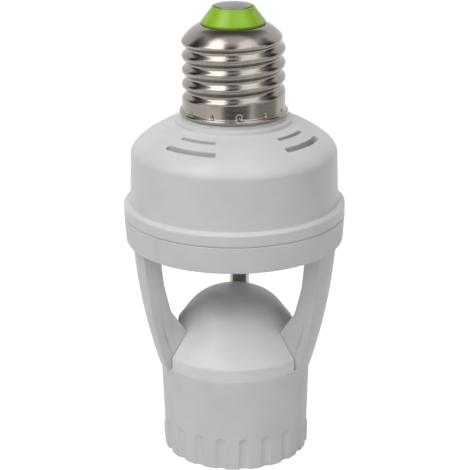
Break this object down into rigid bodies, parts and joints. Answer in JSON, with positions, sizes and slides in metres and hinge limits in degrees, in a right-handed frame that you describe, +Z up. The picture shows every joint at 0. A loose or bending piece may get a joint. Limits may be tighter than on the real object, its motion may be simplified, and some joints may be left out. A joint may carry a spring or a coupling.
{
  "type": "motion sensor lamp holder",
  "caption": "Screw-in lamp holder with a round motion sensor head, bowed side legs and a fluted sleeve that takes a screw lamp.",
  "frame": {"origin": "centre of the sleeve's rim, on the surface that it stands on", "axes": "+Z up to the screw cap, legs along X, front of the picture at -Y, conduit at the back"},
  "size_m": [0.0568, 0.0568, 0.1199],
  "materials": {
    "cover_plastic": "satin moulded polycarbonate",
    "frame_plastic": "satin moulded polycarbonate, slightly cooler",
    "cap_plastic": "satin moulded polycarbonate",
    "nickel": "bright nickel plate on sheet metal",
    "insulator_green": "green moulded insulator",
    "contact_metal": "plated contact",
    "conduit_steel": "bright plated tube",
    "lens_plastic": "milky lens plastic",
    "white_plastic": "plain white moulding",
    "clear_plastic": "clear window",
    "detector_can": "plated can",
    "board_green": "glass fibre board with solder mask",
    "relay_blue": "moulded case",
    "film_yellow": "moulded box",
    "sleeve_black": "shrink sleeve",
    "chip_black": "moulded package",
    "sensor_disc": "ceramic disc",
    "wire_brown": "wire insulation",
    "wire_blue": "wire insulation",
    "wire_red": "wire insulation",
    "screw_steel": "zinc plated",
    "phenolic": "moulded phenolic",
    "socket_brass": "rolled sheet, nickel washed",
    "spring_bronze": "phosphor bronze"
  },
  "bodies": {
    "holder": {"top_cover": "cover_plastic", "lower_frame": "frame_plastic", "sensor_plate": "frame_plastic", "socket_cap": "cap_plastic", "screw_shell": "nickel", "cap_insulator": "insulator_green", "centre_contact": "contact_metal", "conduit_tube": "conduit_steel", "conduit_nut": "conduit_steel", "lens_dome": "lens_plastic", "lens_retainer": "white_plastic", "light_window": "clear_plastic", "pir_detector": "detector_can", "circuit_board": "board_green", "relay": "relay_blue", "trimmers": "relay_blue", "film_capacitor": "film_yellow", "electrolytic_capacitors": "sleeve_black", "rectifier_diodes": "chip_black", "control_chip": "chip_black", "light_sensor": "sensor_disc", "live_lead": "wire_brown", "neutral_lead": "wire_blue", "lamp_leads": "wire_red", "cover_screws": "screw_steel", "board_screws": "screw_steel", "insert_screws": "screw_steel", "socket_insert": "phenolic", "socket_thread_shell": "socket_brass", "contact_rivet": "spring_bronze", "shell_rivets": "spring_bronze"},
    "time_dial": {"time_knob": "white_plastic"},
    "lux_dial": {"lux_knob": "white_plastic"},
    "lamp_contact": {"socket_contact": "spring_bronze"}
  },
  "joints": [
    {"name": "time_turn", "type": "hinge", "parent": "holder", "child": "time_dial", "pos_m": [-0.0094, -0.0122, 0.0587], "axis": [0, 0, 1], "range_deg": [-135, 135]},
    {"name": "lux_turn", "type": "hinge", "parent": "holder", "child": "lux_dial", "pos_m": [0.0094, -0.0122, 0.0587], "axis": [0, 0, 1], "range_deg": [-135, 135]},
    {"name": "contact_flex", "type": "hinge", "parent": "holder", "child": "lamp_contact", "pos_m": [0.0046, 0, 0.0253], "axis": [0, 1, 0], "range_deg": [0, 5], "stiffness_Nm_per_rad": 0.02, "springref_deg": -2.86}
  ]
}
